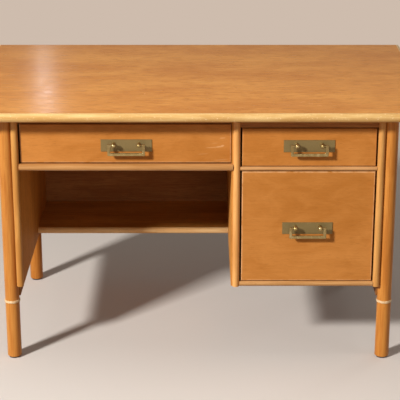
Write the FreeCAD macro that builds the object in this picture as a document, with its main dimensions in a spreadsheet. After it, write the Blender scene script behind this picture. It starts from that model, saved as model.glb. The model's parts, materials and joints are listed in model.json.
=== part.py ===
"""A writing desk with pole legs: overhanging top, kneehole with a rear shelf and three drawers.

The frame has +Z up, +X to the sitter's right and the front towards -Y. The origin lies on the floor
under the middle of the top. Every length is in millimetres.
"""
import FreeCAD, Part
import os
import re
import Sketcher

Vector = FreeCAD.Vector
Rotation = FreeCAD.Rotation

# Driving dimensions

SIZES = {
    # top
    "top_width": 1310,
    "top_depth": 850,
    "desk_height": 755,
    "top_thickness": 25,
    "front_overhang": 68,
    "rear_overhang": 113,
    "side_overhang": 136.5,
    # case
    "case_bottom": 227,
    "panel_thickness": 18,
    "pedestal_width": 385,
    "divider_thickness": 22,
    "back_thickness": 9,
    "floor_thickness": 15,
    "shelf_lift": 28,
    "shelf_thickness": 19,
    "shelf_depth": 250,
    # pole trims and rails
    "trim_width": 20,
    "divider_trim_shift": 3,
    "top_opening_height": 113,
    "middle_rail_thickness": 12,
    "pencil_rail_thickness": 20,
    "rail_depth": 50,
    "pencil_headroom": 20.5,
    "top_rail_drop": 31,
    "top_rail_thickness": 20,
    # legs
    "leg_diameter": 41,
    "leg_stand_off": 18,
    "leg_setback": 14,
    "rear_leg_inset": 54.5,
    "leg_ease": 2,
    "glide_height": 4,
    "glide_diameter": 32,
    "ring_level": 174,
    "ring_height": 7.5,
    "ring_thickness": 2.2,
    "ring_clearance": 0.1,
    "bearer_setout": 11.5,
    "bearer_thickness": 18,
    "bearer_depth": 36,
    # top blocks
    "block_size": 22,
    "block_length": 60,
    "block_setback": 110,
    # drawer fronts
    "front_thickness": 18,
    "front_ease": 1.8,
    "front_gap": 3,
    "sill_gap": 1.2,
    "pencil_left_gap": 5,
    "pencil_right_gap": 1.2,
    "divider_gap": 7,
    "pedestal_gap": 5,
    "pencil_recess": 5,
    "front_proud": 1,
    # drawer boxes
    "box_side_gap": 10,
    "box_side_thickness": 12,
    "box_back_thickness": 12,
    "box_bottom_thickness": 6,
    "groove_depth": 6,
    "groove_lift": 8,
    "groove_clearance": 0.2,
    "top_box_headroom": 21,
    "file_box_headroom": 78,
    "pencil_rear_room": 126,
    "pedestal_rear_room": 113,
    # dovetails
    "tail_length": 12,
    "tail_slope": 1.6,
    "tail_margin": 5,
    # runners
    "runner_thickness": 18,
    "file_runner_thickness": 4,
    "runner_lip": 4,
    "guide_height": 14,
    "guide_clearance": 0.6,
    "slide_clearance": 0.3,
    "stop_clearance": 1,
    # pulls
    "plate_width": 143,
    "plate_height": 35.5,
    "plate_thickness": 2,
    "plate_bevel": 1.2,
    "top_pull_drop": 84.5,
    "file_pull_sag": 4.7,
    "pencil_pull_shift": 4.5,
    "post_spacing": 70,
    "post_lift": 5.5,
    "post_reach": 18,
    "ball_diameter": 13,
    "neck_diameter": 7.5,
    "shank_diameter": 5,
    "shank_tail": 4,
    "shank_clearance": 0.2,
    "bail_width": 104,
    "bail_drop": 26,
    "bail_bar": 6.5,
    "bail_corner": 2.2,
    "bail_ease": 0.8,
    "pin_diameter": 4,
    "pin_stop": 2,
    "pin_clearance": 0.65,
}

# Places worked out from the driving dimensions

PLACES = {
    "top_under": "desk_height - top_thickness",
    "pole_radius": "top_thickness / 2",
    "top_middle": "desk_height - pole_radius",
    "top_side": "top_width / 2",
    "top_front": "-top_depth / 2",
    "top_rear": "top_depth / 2",
    "case_front": "top_front + front_overhang",
    "case_back": "top_rear - rear_overhang",
    "back_face": "case_back - back_thickness",
    "side_outer": "top_side - side_overhang",
    "side_inner": "side_outer - panel_thickness",
    "divider_right": "side_inner - pedestal_width",
    "divider_left": "divider_right - divider_thickness",
    "floor_top": "case_bottom + floor_thickness",
    "trim_radius": "trim_width / 2",
    "side_trim_x": "side_inner + panel_thickness / 2",
    "divider_trim_x": "divider_left + divider_thickness / 2 + divider_trim_shift",
    "shelf_front": "back_face - shelf_depth",
    "shelf_top": "case_bottom + shelf_lift",
    "shelf_bottom": "shelf_top - shelf_thickness",
    "top_rail_bottom": "top_under - top_rail_drop",
    "pencil_ceiling": "top_under - pencil_headroom",
    "middle_rail_top": "top_rail_bottom - top_opening_height",
    "middle_rail_level": "middle_rail_top - middle_rail_thickness",
    "pencil_rail_top": "middle_rail_level + pencil_rail_thickness",
    "rail_back": "case_front + rail_depth",
    "leg_radius": "leg_diameter / 2",
    "leg_x": "side_outer + leg_stand_off",
    "front_leg_y": "case_front + leg_setback",
    "rear_leg_y": "case_back - rear_leg_inset",
    "leg_length": "top_under - glide_height",
    "ring_inner": "leg_radius + ring_clearance",
    "ring_outer": "ring_inner + ring_thickness",
    "bearer_inner": "side_inner + bearer_setout",
    "bearer_outer": "bearer_inner + bearer_thickness",
    "bearer_bottom": "case_bottom - bearer_depth",
    "pencil_front_y": "case_front + pencil_recess",
    "pedestal_front_y": "case_front - front_proud",
    "runner_width": "box_side_gap + box_side_thickness + runner_lip",
    "guide_width": "box_side_gap - guide_clearance",
    "file_runner_top": "floor_top + file_runner_thickness",
    "top_pull_z": "top_under - top_pull_drop",
    "file_pull_z": "(floor_top + middle_rail_level) / 2 - file_pull_sag",
    "ball_radius": "ball_diameter / 2",
    "neck_radius": "neck_diameter / 2",
    "shank_radius": "shank_diameter / 2",
    "shank_hole_radius": "shank_radius + shank_clearance",
    "pin_hole_radius": "pin_diameter / 2 + pin_clearance",
    "bail_height": "bail_drop + bail_bar",
    "pin_length": "bail_width / 2 - bail_bar - post_spacing / 2 - pin_stop",
}

NAME = re.compile(r"[a-z][a-z_]*")


def formula(text):
    """Spell a formula of size and place names as an expression on the sheet."""
    def spell(match):
        word = match.group(0)
        if word in SIZES:
            return "Sizes." + word
        return "(" + formula(PLACES[word]) + ")"
    return NAME.sub(spell, text)


# The document and its sheet

doc = FreeCAD.newDocument("writing_desk")
sheet = doc.addObject("Spreadsheet::Sheet", "Sizes")
for row, (size_name, size) in enumerate(SIZES.items(), start=1):
    sheet.set("A%d" % row, size_name)
    sheet.set("B%d" % row, str(size))
    sheet.setAlias("B%d" % row, size_name)
doc.recompute()

nodes = []


# Ways of making a piece

def bind(thing, formulas):
    """Bind properties of an object to formulas of the sizes."""
    for target, text in formulas.items():
        thing.setExpression(target, formula(text))
    return thing


def locate(thing, x, y, z, turn=None):
    """Turn an object about its own origin and put that origin at x, y, z."""
    if turn is not None:
        thing.Placement = FreeCAD.Placement(Vector(0, 0, 0), turn)
    return bind(thing, {"Placement.Base.x": x, "Placement.Base.y": y, "Placement.Base.z": z})


def node(thing, label):
    """Keep an object as a piece of the desk under its own name."""
    thing.Label = label
    nodes.append(thing)
    return thing


def board(name, x, y, z):
    """Make a square-edged board between pairs of faces along X, Y and Z."""
    box = doc.addObject("Part::Box", name)
    bind(box, {"Length": "(%s) - (%s)" % (x[1], x[0]),
               "Width": "(%s) - (%s)" % (y[1], y[0]),
               "Height": "(%s) - (%s)" % (z[1], z[0])})
    return locate(box, x[0], y[0], z[0])


# A half-round is turned so that its flat back faces away from the named side.
UPRIGHT_FRONT = Rotation(Vector(0, 0, 1), 180)
ALONG_X_FRONT = Rotation(Vector(0, 0, 1), Vector(0, -1, 0), Vector(1, 0, 0), "ZYX")
ALONG_X_REAR = Rotation(Vector(0, 0, -1), Vector(0, 1, 0), Vector(1, 0, 0), "ZYX")
ALONG_Y_LEFT = Rotation(Vector(0, 0, -1), Vector(-1, 0, 0), Vector(0, 1, 0), "ZYX")
ALONG_Y_RIGHT = Rotation(Vector(0, 0, 1), Vector(1, 0, 0), Vector(0, 1, 0), "ZYX")
# A rod along X or Y, from its start towards the positive end.
ROD_X = Rotation(Vector(0, 1, 0), 90)
ROD_X_BACK = Rotation(Vector(0, 1, 0), -90)
ROD_Y = Rotation(Vector(1, 0, 0), -90)


def rod(name, radius, length, start, turn=None):
    """Make a round rod of a radius and length from a start point."""
    cylinder = doc.addObject("Part::Cylinder", name)
    bind(cylinder, {"Radius": radius, "Height": length})
    return locate(cylinder, start[0], start[1], start[2], turn)


def half_round(name, radius, length, start, turn):
    """Make a split pole: half a rod with a flat back."""
    pole = rod(name, radius, length, start, turn)
    pole.Angle = 180
    return pole


def cut(name, base, tools):
    """Take tool solids away from a base solid."""
    tool = tools[0]
    if len(tools) > 1:
        tool = doc.addObject("Part::MultiFuse", name + "_tools")
        tool.Shapes = tools
    result = doc.addObject("Part::Cut", name)
    result.Base = base
    result.Tool = tool
    return result


def fuse(name, solids):
    """Join solids into one piece."""
    result = doc.addObject("Part::MultiFuse", name)
    result.Shapes = solids
    return result


def group(name, solids):
    """Keep like pieces together as separate solids."""
    result = doc.addObject("Part::Compound", name)
    result.Links = solids
    return result


def origin_plane(body, role):
    """Find one of a body's own origin planes."""
    return [plane for plane in body.Origin.OriginFeatures if plane.Role == role][0]


def outline_sketch(body, role, outline):
    """Draw a closed outline of straight lines through corners given as formulas."""
    sketch = body.newObject("Sketcher::SketchObject", body.Name + "_outline")
    sketch.AttachmentSupport = (origin_plane(body, role), [""])
    sketch.MapMode = "FlatFace"
    count = len(outline)
    rough = [Vector(1 + corner, 1 + corner * corner, 0) for corner in range(count)]
    for corner in range(count):
        sketch.addGeometry(Part.LineSegment(rough[corner], rough[(corner + 1) % count]))
    for corner in range(count):
        sketch.addConstraint(Sketcher.Constraint("Coincident", corner, 2, (corner + 1) % count, 1))
    for corner, place in enumerate(outline):
        for axis, kind, text in ((-2, "DistanceX", place[0]), (-1, "DistanceY", place[1])):
            if text == "0":
                sketch.addConstraint(Sketcher.Constraint("PointOnObject", corner, 1, axis))
                continue
            rough_value = getattr(rough[corner], "x" if kind == "DistanceX" else "y")
            index = sketch.addConstraint(Sketcher.Constraint(kind, -1, 1, corner, 1, rough_value))
            sketch.setExpression("Constraints[%d]" % index, formula(text))
    return sketch


def eased_board(name, x, y, z, ease):
    """Make a board whose front face has eased edges."""
    body = doc.addObject("PartDesign::Body", name)
    width = "(%s) - (%s)" % (x[1], x[0])
    height = "(%s) - (%s)" % (z[1], z[0])
    sketch = outline_sketch(body, "XZ_Plane", (("0", "0"), (width, "0"), (width, height), ("0", height)))
    pad = body.newObject("PartDesign::Pad", name + "_pad")
    pad.Profile = sketch
    bind(pad, {"Length": "(%s) - (%s)" % (y[1], y[0])})
    doc.recompute()
    front = min(range(len(pad.Shape.Faces)), key=lambda k: pad.Shape.Faces[k].CenterOfMass.y)
    chamfer = body.newObject("PartDesign::Chamfer", name + "_easing")
    chamfer.Base = (pad, ["Face%d" % (front + 1)])
    bind(chamfer, {"Size": ease})
    return locate(body, x[0], y[1], z[0])


def turned(name, outline, start, turn=None):
    """Turn an outline of radius and height formulas about its own upright axis."""
    body = doc.addObject("PartDesign::Body", name)
    sketch = outline_sketch(body, "XZ_Plane", outline)
    spin = body.newObject("PartDesign::Revolution", name + "_turning")
    spin.Profile = sketch
    spin.ReferenceAxis = (sketch, ["V_Axis"])
    spin.Angle = 360
    return locate(body, start[0], start[1], start[2], turn)


def minus(text):
    """Write the opposite of a formula."""
    return "-(%s)" % text


# Top

def edge_pole(name, length, start, turn, middle, heading):
    """Make one split pole of the top's edge, mitred at both ends."""
    pole = half_round(name + "_round", "pole_radius", length, start, turn)
    mitre = doc.addObject("Part::Wedge", name + "_mitre")
    bind(mitre, {"Xmin": "-(%s) / 2" % length, "Xmax": "(%s) / 2" % length,
                 "X2min": "pole_radius - (%s) / 2" % length, "X2max": "(%s) / 2 - pole_radius" % length,
                 "Ymin": "-pole_radius", "Ymax": "0",
                 "Zmin": "-pole_radius", "Zmax": "pole_radius",
                 "Z2min": "-pole_radius", "Z2max": "pole_radius"})
    locate(mitre, middle[0], middle[1], "top_middle", Rotation(Vector(0, 0, 1), heading))
    result = doc.addObject("Part::Common", name)
    result.Base = pole
    result.Tool = mitre
    return node(result, name)


def build_top():
    """Make the veneered top and the four split poles round its edge."""
    node(board("desktop_panel", ("pole_radius - top_side", "top_side - pole_radius"),
               ("top_front + pole_radius", "top_rear - pole_radius"), ("top_under", "desk_height")),
         "desktop_panel")
    front_line = "top_front + pole_radius"
    rear_line = "top_rear - pole_radius"
    left_line = "pole_radius - top_side"
    right_line = "top_side - pole_radius"
    edge_pole("top_edge_pole_front", "top_width", ("-top_side", front_line, "top_middle"),
              ALONG_X_FRONT, ("0", front_line), 0)
    edge_pole("top_edge_pole_rear", "top_width", ("-top_side", rear_line, "top_middle"),
              ALONG_X_REAR, ("0", rear_line), 180)
    edge_pole("top_edge_pole_left", "top_depth", (left_line, "top_front", "top_middle"),
              ALONG_Y_LEFT, (left_line, "0"), 270)
    edge_pole("top_edge_pole_right", "top_depth", (right_line, "top_front", "top_middle"),
              ALONG_Y_RIGHT, (right_line, "0"), 90)


# Case

def signed(side, text):
    """Put a formula on the left (-1) or the right (1) of the middle."""
    return text if side > 0 else minus(text)


def span(side, near, far):
    """Give the pair of X faces between two distances from the middle, on one side."""
    return (near, far) if side > 0 else (minus(far), minus(near))


def build_side(side, word):
    """Make one end of the case: side panel, bearer and the two legs."""
    node(board(word + "_side_panel", span(side, "side_inner", "side_outer"), ("case_front", "case_back"),
               ("case_bottom", "top_under")), word + "_side_panel")
    node(board(word + "_bearer", span(side, "bearer_inner", "bearer_outer"), ("front_leg_y", "rear_leg_y"),
               ("bearer_bottom", "case_bottom")), word + "_bearer")
    build_leg("front_%s_leg" % word, side, "front_leg_y", ("front_leg_y", "front_leg_y + leg_diameter"))
    build_leg("rear_%s_leg" % word, side, "rear_leg_y", ("rear_leg_y - leg_diameter", "rear_leg_y"))


def build_leg(name, side, leg_y, bearer_y):
    """Make one pole leg, flattened against the side panel and notched for the end of the bearer."""
    shaft = turned(name + "_shaft", (("0", "0"), ("leg_radius - leg_ease", "0"), ("leg_radius", "leg_ease"),
                                     ("leg_radius", "leg_length"), ("0", "leg_length")),
                   (signed(side, "leg_x"), leg_y, "glide_height"))
    seat = board(name + "_seat", span(side, "side_inner", "side_outer"),
                 (leg_y + " - leg_diameter", leg_y + " + leg_diameter"), ("case_bottom", "desk_height"))
    notch = board(name + "_notch", span(side, "side_inner", "bearer_outer"), bearer_y,
                  ("bearer_bottom", "case_bottom"))
    node(cut(name, shaft, [seat, notch]), name)


def build_rings_and_glides():
    """Make the binding ring and the floor glide of each leg."""
    rings = []
    glides = []
    for side in (-1, 1):
        for number, leg_y in enumerate(("front_leg_y", "rear_leg_y")):
            x = signed(side, "leg_x")
            tag = "%d_%d" % (side + 1, number)
            ring = (("ring_inner", "0"), ("ring_outer", "0"), ("ring_outer", "ring_height"),
                    ("ring_inner", "ring_height"))
            rings.append(turned("ring_" + tag, ring, (x, leg_y, "ring_level")))
            glides.append(rod("glide_" + tag, "glide_diameter / 2", "glide_height", (x, leg_y, "0")))
    node(group("leg_binding_rings", rings), "leg_binding_rings")
    node(group("leg_glides", glides), "leg_glides")


def build_case():
    """Make the case between the two ends: divider, backs, floor, shelf, rails and trims."""
    build_side(-1, "left")
    build_side(1, "right")
    build_rings_and_glides()
    full_depth = ("case_front", "case_back")
    kneehole = ("-side_inner", "divider_left")
    pedestal = ("divider_right", "side_inner")
    upright = ("case_bottom", "top_under")
    node(board("divider_panel", ("divider_left", "divider_right"), full_depth, upright), "divider_panel")
    for word, width in (("kneehole", kneehole), ("pedestal", pedestal)):
        node(board(word + "_back_panel", width, ("back_face", "case_back"), upright), word + "_back_panel")
    node(board("pedestal_floor", pedestal, ("case_front", "back_face"), ("case_bottom", "floor_top")),
         "pedestal_floor")
    node(board("kneehole_shelf", kneehole, ("shelf_front", "back_face"), ("shelf_bottom", "shelf_top")),
         "kneehole_shelf")
    node(half_round("shelf_edge_pole", "shelf_thickness / 2", "divider_left + side_inner",
                    ("-side_inner", "shelf_front", "shelf_top - shelf_thickness / 2"), ALONG_X_FRONT),
         "shelf_edge_pole")
    build_rails(kneehole, pedestal)
    for word, x in (("left", "-side_trim_x"), ("divider", "divider_trim_x"), ("right", "side_trim_x")):
        node(half_round(word + "_trim_pole", "trim_radius", "top_under - case_bottom",
                        (x, "case_front", "case_bottom"), UPRIGHT_FRONT), word + "_trim_pole")
    build_blocks()


def build_rails(kneehole, pedestal):
    """Make the cross rails and the split poles on their front edges."""
    rail = ("case_front", "rail_back")
    node(board("pencil_rail", kneehole, rail, ("middle_rail_level", "pencil_rail_top")), "pencil_rail")
    node(board("middle_rail", pedestal, rail, ("middle_rail_level", "middle_rail_top")), "middle_rail")
    node(board("kneehole_top_rail", kneehole,
               ("pencil_front_y", "pencil_front_y + top_rail_thickness"), ("pencil_ceiling", "top_under")),
         "kneehole_top_rail")
    node(board("pedestal_top_rail", pedestal,
               ("case_front", "case_front + top_rail_thickness"), ("top_rail_bottom", "top_under")),
         "pedestal_top_rail")
    kneehole_poles = ("trim_radius - side_trim_x", "divider_trim_x - trim_radius")
    pedestal_poles = ("divider_trim_x + trim_radius", "side_trim_x - trim_radius")
    for name, ends, thickness, level in (
            ("pencil_rail_pole", kneehole_poles, "pencil_rail_thickness", "middle_rail_level"),
            ("middle_rail_pole", pedestal_poles, "middle_rail_thickness", "middle_rail_level"),
            ("bottom_rail_pole", pedestal_poles, "floor_thickness", "case_bottom")):
        node(half_round(name, thickness + " / 2", "(%s) - (%s)" % (ends[1], ends[0]),
                        (ends[0], "case_front", "%s + %s / 2" % (level, thickness)), ALONG_X_FRONT), name)


def build_blocks():
    """Make the glue blocks that hold the top to the uprights."""
    blocks = []
    for word, x in (("left", ("-side_inner", "block_size - side_inner")),
                    ("divider", ("divider_right", "divider_right + block_size")),
                    ("right", ("side_inner - block_size", "side_inner"))):
        for place, y in (("front", "case_front + block_setback"),
                         ("rear", "back_face - block_setback - block_length")):
            blocks.append(board("%s_%s_block" % (word, place), x, (y, y + " + block_length"),
                                ("top_under - block_size", "top_under")))
    node(group("top_fixing_blocks", blocks), "top_fixing_blocks")


# Drawers

class Drawer:
    """One drawer: where its front lies and how large its box is."""

    def __init__(self, name, opening, gaps, levels, front_y, runner, box, pull):
        self.name = name
        self.opening = opening
        self.front_x = ("%s + %s" % (opening[0], gaps[0]), "%s - %s" % (opening[1], gaps[1]))
        self.front_z = ("%s + sill_gap" % levels[0], "%s - front_gap" % levels[1])
        self.front_y = front_y
        self.front_back = front_y + " + front_thickness"
        self.runner_top = runner[0]
        self.runner_bottom = runner[1]
        self.runner_start = runner[2]
        self.box_back = "back_face - " + box[1]
        self.tails = box[2]
        self.pull_x = pull[0]
        self.pull_z = pull[1]
        self.left = opening[0] + " + box_side_gap"
        self.right = opening[1] + " - box_side_gap"
        self.side_bottom = self.runner_top + " + slide_clearance"
        self.side_top = "%s - %s" % (levels[1], box[0])
        self.bottom_under = self.side_bottom + " + groove_lift"
        self.bottom_top = self.bottom_under + " + box_bottom_thickness"

    def part(self, piece):
        """Name a piece of this drawer."""
        return "%s_drawer_%s" % (self.name, piece)

    def build(self):
        """Make the drawer's box, its pull and the runners that carry it."""
        self.build_box()
        self.build_runners()
        self.build_pull()

    def build_box(self):
        """Make the front, the two sides, the back and the bottom in its grooves."""
        groove_z = (self.bottom_under + " - groove_clearance", self.bottom_top + " + groove_clearance")
        inner_left = self.left + " + box_side_thickness"
        inner_right = self.right + " - box_side_thickness"
        groove_left = inner_left + " - groove_depth"
        groove_right = inner_right + " + groove_depth"
        groove_front = self.front_back + " - groove_depth"
        left_tails = self.tail_places("left_tail", self.left, inner_left)
        right_tails = self.tail_places("right_tail", inner_right, self.right)
        front_depth = (self.front_y, self.front_back)
        front = eased_board(self.part("front_board"), self.front_x, front_depth, self.front_z, "front_ease")
        groove = board(self.part("front_groove"), (groove_left, groove_right),
                       (groove_front, self.front_back), groove_z)
        holes = [rod(self.part("front_hole_%d" % side), "shank_hole_radius", "front_thickness",
                     (self.post_x(side), self.front_y, self.pivot_z()), ROD_Y) for side in (-1, 1)]
        node(cut(self.part("front"), front, [groove] + holes + left_tails + right_tails), self.part("front"))
        for word, side_x, groove_x, tails in (
                ("left", (self.left, inner_left), (groove_left, inner_left), left_tails),
                ("right", (inner_right, self.right), (inner_right, groove_right), right_tails)):
            name = self.part(word + "_side")
            side = board(name + "_board", side_x, (self.front_back, self.box_back),
                         (self.side_bottom, self.side_top))
            slot = board(name + "_groove", groove_x, (groove_front, self.box_back), groove_z)
            node(cut(name, fuse(name + "_blank", [side] + tails), [slot]), name)
        node(board(self.part("back"), (inner_left, inner_right),
                   (self.box_back + " - box_back_thickness", self.box_back),
                   (self.bottom_top, self.side_top)), self.part("back"))
        bottom_x = (groove_left + " + groove_clearance", groove_right + " - groove_clearance")
        bottom_y = (groove_front + " + groove_clearance", self.box_back)
        node(board(self.part("bottom"), bottom_x, bottom_y, (self.bottom_under, self.bottom_top)),
             self.part("bottom"))

    def tail_places(self, name, near, far):
        """Make the dovetails that one side sends into the front."""
        tails = []
        low = self.front_z[0] + " + tail_margin"
        pitch = "((%s) - (%s) - tail_margin) / %d" % (self.side_top, low, self.tails)
        for number in range(self.tails):
            tail = doc.addObject("Part::Wedge", "%s_%d" % (self.part(name), number))
            bind(tail, {"Xmin": "0", "Xmax": "(%s) - (%s)" % (far, near),
                        "X2min": "0", "X2max": "(%s) - (%s)" % (far, near),
                        "Ymin": "-tail_length", "Ymax": "0",
                        "Zmin": "-%s / 3" % pitch, "Zmax": "%s / 3" % pitch,
                        "Z2min": "tail_slope - %s / 3" % pitch, "Z2max": "%s / 3 - tail_slope" % pitch})
            locate(tail, near, self.front_back, "%s + %s * (%d + 1 / 2)" % (low, pitch, number))
            tails.append(tail)
        return tails

    def build_runners(self):
        """Make the two runners, each with a side guide and a stop at its rear end."""
        runners = []
        guide_z = (self.runner_top, self.runner_top + " + guide_height")
        along = (self.runner_start, "back_face")
        for word, near, sign in (("left", self.opening[0], "+"), ("right", self.opening[1], "-")):
            name = self.part(word + "_runner")
            ledge_x = self.ordered(near, sign, "runner_width")
            guide_x = self.ordered(near, sign, "guide_width")
            ledge = board(name + "_ledge", ledge_x, along, (self.runner_bottom, self.runner_top))
            guide = board(name + "_guide", guide_x, along, guide_z)
            stop = board(name + "_stop", ledge_x, (self.box_back + " + stop_clearance", "back_face"), guide_z)
            runners.append(fuse(name, [ledge, guide, stop]))
        node(group(self.name + "_drawer_runners", runners), self.name + "_drawer_runners")

    @staticmethod
    def ordered(near, sign, width):
        """Give the X faces of a strip that starts at an upright and runs into the opening."""
        far = "%s %s %s" % (near, sign, width)
        return (near, far) if sign == "+" else (far, near)

    def post_x(self, side):
        """Give the X place of one post of the pull."""
        return "%s %s post_spacing / 2" % (self.pull_x, "+" if side > 0 else "-")

    def pivot_y(self):
        """Give the Y place of the bail's axis."""
        return "%s - plate_thickness - post_reach" % self.front_y

    def pivot_z(self):
        """Give the height of the bail's axis."""
        return self.pull_z + " + post_lift"

    def build_pull(self):
        """Make the backplate, the two ball-headed posts and the swinging bail."""
        plate = doc.addObject("Part::Wedge", self.part("plate_blank"))
        bind(plate, {"Xmin": "plate_bevel - plate_width / 2", "Xmax": "plate_width / 2 - plate_bevel",
                     "X2min": "-plate_width / 2", "X2max": "plate_width / 2",
                     "Ymin": "-plate_thickness", "Ymax": "0",
                     "Zmin": "plate_bevel - plate_height / 2", "Zmax": "plate_height / 2 - plate_bevel",
                     "Z2min": "-plate_height / 2", "Z2max": "plate_height / 2"})
        locate(plate, self.pull_x, self.front_y, self.pull_z)
        face = self.front_y + " - plate_thickness"
        holes = [rod(self.part("plate_hole_%d" % side), "shank_hole_radius", "plate_thickness",
                     (self.post_x(side), face, self.pivot_z()), ROD_Y) for side in (-1, 1)]
        node(cut(self.part("backplate"), plate, holes), self.part("backplate"))
        posts = [self.build_post(side) for side in (-1, 1)]
        node(group(self.part("pull_posts"), posts), self.part("pull_posts"))
        self.build_bail()

    def build_post(self, side):
        """Make one turned post, from its drilled ball to the end of its shank behind the front."""
        name = self.part("post_%d" % (side + 1))
        place = (self.post_x(side), self.pivot_y(), self.pivot_z())
        tail = "ball_radius + post_reach + plate_thickness + front_thickness + shank_tail"
        outline = (("0", "0"), ("ball_radius / 2", "0"), ("ball_radius", "ball_radius / 2"),
                   ("ball_radius", "ball_radius * 3 / 2"), ("neck_radius", "ball_radius * 3 / 2"),
                   ("neck_radius", "ball_radius + post_reach"), ("shank_radius", "ball_radius + post_reach"),
                   ("shank_radius", tail), ("0", tail))
        solid = turned(name + "_turning_blank", outline,
                       (place[0], place[1] + " - ball_radius", place[2]), ROD_Y)
        outer = "%s %s ball_diameter" % (place[0], "+" if side > 0 else "-")
        hole = doc.addObject("Part::Prism", name + "_pin_hole")
        hole.Polygon = 6
        bind(hole, {"Circumradius": "pin_hole_radius", "Height": "ball_diameter"})
        locate(hole, outer, place[1], place[2], ROD_X_BACK if side > 0 else ROD_X)
        return cut(name, solid, [hole])

    def build_bail(self):
        """Make the square-bar bail: two arms, the bar across them and a pin from each arm into its post."""
        name = self.part("bail")
        body = doc.addObject("PartDesign::Body", name)
        outline = (("0", "bail_corner"), ("bail_corner", "0"), ("bail_width - bail_corner", "0"),
                   ("bail_width", "bail_corner"), ("bail_width", "bail_height"),
                   ("bail_width - bail_bar", "bail_height"), ("bail_width - bail_bar", "bail_bar"),
                   ("bail_bar", "bail_bar"), ("bail_bar", "bail_height"), ("0", "bail_height"))
        pad = body.newObject("PartDesign::Pad", name + "_pad")
        pad.Profile = outline_sketch(body, "XZ_Plane", outline)
        bind(pad, {"Length": "bail_bar"})
        doc.recompute()
        faces = sorted(range(len(pad.Shape.Faces)), key=lambda k: pad.Shape.Faces[k].CenterOfMass.y)
        chamfer = body.newObject("PartDesign::Chamfer", name + "_easing")
        chamfer.Base = (pad, ["Face%d" % (faces[end] + 1) for end in (0, -1)])
        bind(chamfer, {"Size": "bail_ease"})
        for word, x, turn in (("left", "bail_bar", ROD_X), ("right", "bail_width - bail_bar", ROD_X_BACK)):
            pin = body.newObject("PartDesign::AdditiveCylinder", "%s_%s_pin" % (name, word))
            bind(pin, {"Radius": "pin_diameter / 2", "Height": "pin_length"})
            locate(pin, x, "-bail_bar / 2", "bail_height - bail_bar / 2", turn)
        locate(body, self.pull_x + " - bail_width / 2", self.pivot_y() + " + bail_bar / 2",
               self.pivot_z() + " - bail_drop - bail_bar / 2")
        node(body, name)


def build_drawers():
    """Make the three drawers in their openings."""
    kneehole = ("-side_inner", "divider_left")
    pedestal = ("divider_right", "side_inner")
    pedestal_middle = "(divider_right + divider_gap + side_inner - pedestal_gap) / 2"
    Drawer("pencil", kneehole, ("pencil_left_gap", "pencil_right_gap"), ("pencil_rail_top", "pencil_ceiling"),
           "pencil_front_y", ("pencil_rail_top", "pencil_rail_top - runner_thickness", "rail_back"),
           ("top_box_headroom", "pencil_rear_room", 3),
           ("(divider_left - side_inner) / 2 + pencil_pull_shift", "top_pull_z")).build()
    Drawer("upper", pedestal, ("divider_gap", "pedestal_gap"), ("middle_rail_top", "top_rail_bottom"),
           "pedestal_front_y", ("middle_rail_top", "middle_rail_top - runner_thickness", "rail_back"),
           ("top_box_headroom", "pedestal_rear_room", 3), (pedestal_middle, "top_pull_z")).build()
    Drawer("file", pedestal, ("divider_gap", "pedestal_gap"), ("floor_top", "middle_rail_level"),
           "pedestal_front_y", ("file_runner_top", "floor_top", "rail_back"),
           ("file_box_headroom", "pedestal_rear_room", 7), (pedestal_middle, "file_pull_z")).build()


def check_and_write():
    """Test every object and write each piece to its own file."""
    doc.recompute()
    for thing in doc.Objects:
        if "Invalid" in thing.State or "Error" in thing.State:
            raise RuntimeError("failed: %s %s" % (thing.Label, thing.State))
    for piece in nodes:
        if piece.Shape.isNull() or not piece.Shape.isValid() or not piece.Shape.Solids:
            raise RuntimeError("bad shape: " + piece.Label)
    os.makedirs("parts", exist_ok=True)
    for piece in nodes:
        piece.Shape.exportStep("parts/%s.step" % piece.Label)
    print("%d pieces written" % len(nodes))


build_top()
build_case()
build_drawers()
check_and_write()
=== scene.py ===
"""Looks for a writing desk with pole legs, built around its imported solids.

The veneers, split poles, brass and box wood are procedural finishes on the CAD nodes. The swinging bails,
their turned posts, the nuts behind the drawer fronts and the cane bindings on the legs are new meshes.
"""
from __future__ import annotations

import json
import logging
import math
from dataclasses import dataclass
from enum import Enum

import bmesh
import bpy
from mathutils import Matrix, Vector

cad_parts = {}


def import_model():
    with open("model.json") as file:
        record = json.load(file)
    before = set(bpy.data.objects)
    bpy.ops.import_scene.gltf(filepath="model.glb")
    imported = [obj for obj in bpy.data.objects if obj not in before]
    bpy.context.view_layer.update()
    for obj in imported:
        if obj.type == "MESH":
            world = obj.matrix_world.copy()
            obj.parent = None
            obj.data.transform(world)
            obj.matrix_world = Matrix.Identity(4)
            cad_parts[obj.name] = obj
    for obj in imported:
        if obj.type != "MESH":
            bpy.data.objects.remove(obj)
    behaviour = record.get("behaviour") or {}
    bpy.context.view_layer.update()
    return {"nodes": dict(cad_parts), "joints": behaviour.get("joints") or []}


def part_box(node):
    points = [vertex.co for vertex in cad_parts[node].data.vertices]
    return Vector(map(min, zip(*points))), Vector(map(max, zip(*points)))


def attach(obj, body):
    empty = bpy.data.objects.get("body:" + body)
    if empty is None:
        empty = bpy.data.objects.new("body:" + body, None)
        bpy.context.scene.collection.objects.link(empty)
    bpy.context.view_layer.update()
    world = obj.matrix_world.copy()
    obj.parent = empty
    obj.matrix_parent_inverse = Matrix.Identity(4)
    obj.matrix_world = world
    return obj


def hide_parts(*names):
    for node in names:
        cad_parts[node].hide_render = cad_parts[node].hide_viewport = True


LOG = logging.getLogger("writing_desk")
Colour = tuple[float, float, float]
Triple = tuple[float, float, float]
Pair = tuple[float, float]
MM = 0.001
WORDS = ("pencil", "upper", "file")
LEGS = ("front_left_leg", "front_right_leg", "rear_left_leg", "rear_right_leg")
TRIMS = ("left_trim_pole", "divider_trim_pole", "right_trim_pole")
RAILS = ("pencil_rail_pole", "middle_rail_pole", "bottom_rail_pole")
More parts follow.
